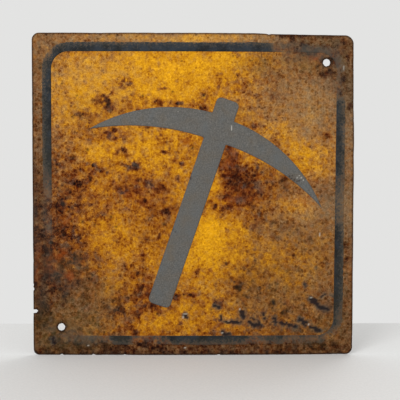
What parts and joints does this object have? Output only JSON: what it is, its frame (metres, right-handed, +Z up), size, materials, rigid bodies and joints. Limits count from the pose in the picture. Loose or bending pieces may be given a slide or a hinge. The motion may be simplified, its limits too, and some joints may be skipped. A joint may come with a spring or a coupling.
{
  "type": "road sign panel",
  "caption": "Square sheet-steel warning sign panel with rounded corners, a dark border, a pickaxe symbol and bolt holes on one diagonal.",
  "frame": {"origin": "middle of the panel, on the back face of the steel, halfway between the two bolt holes", "axes": "+Z up the sign, +X to the right of someone reading it, +Y out of its back, so the face looks along -Y"},
  "size_m": [0.457, 0.0019, 0.457],
  "materials": {
    "rusted_steel": "sheet steel, rusted brown all over and pitted",
    "yellow_enamel": "yellow enamel, faded, rust-stained and worn through towards the edges",
    "border_paint": "blue-black paint, faded and partly lost",
    "symbol_film": "grey film, matt, lightly scuffed"
  },
  "bodies": {
    "root": {"sign_plate": "rusted_steel", "yellow_coat": "yellow_enamel", "border_band": "border_paint", "pick_symbol": "symbol_film"}
  },
  "joints": []
}
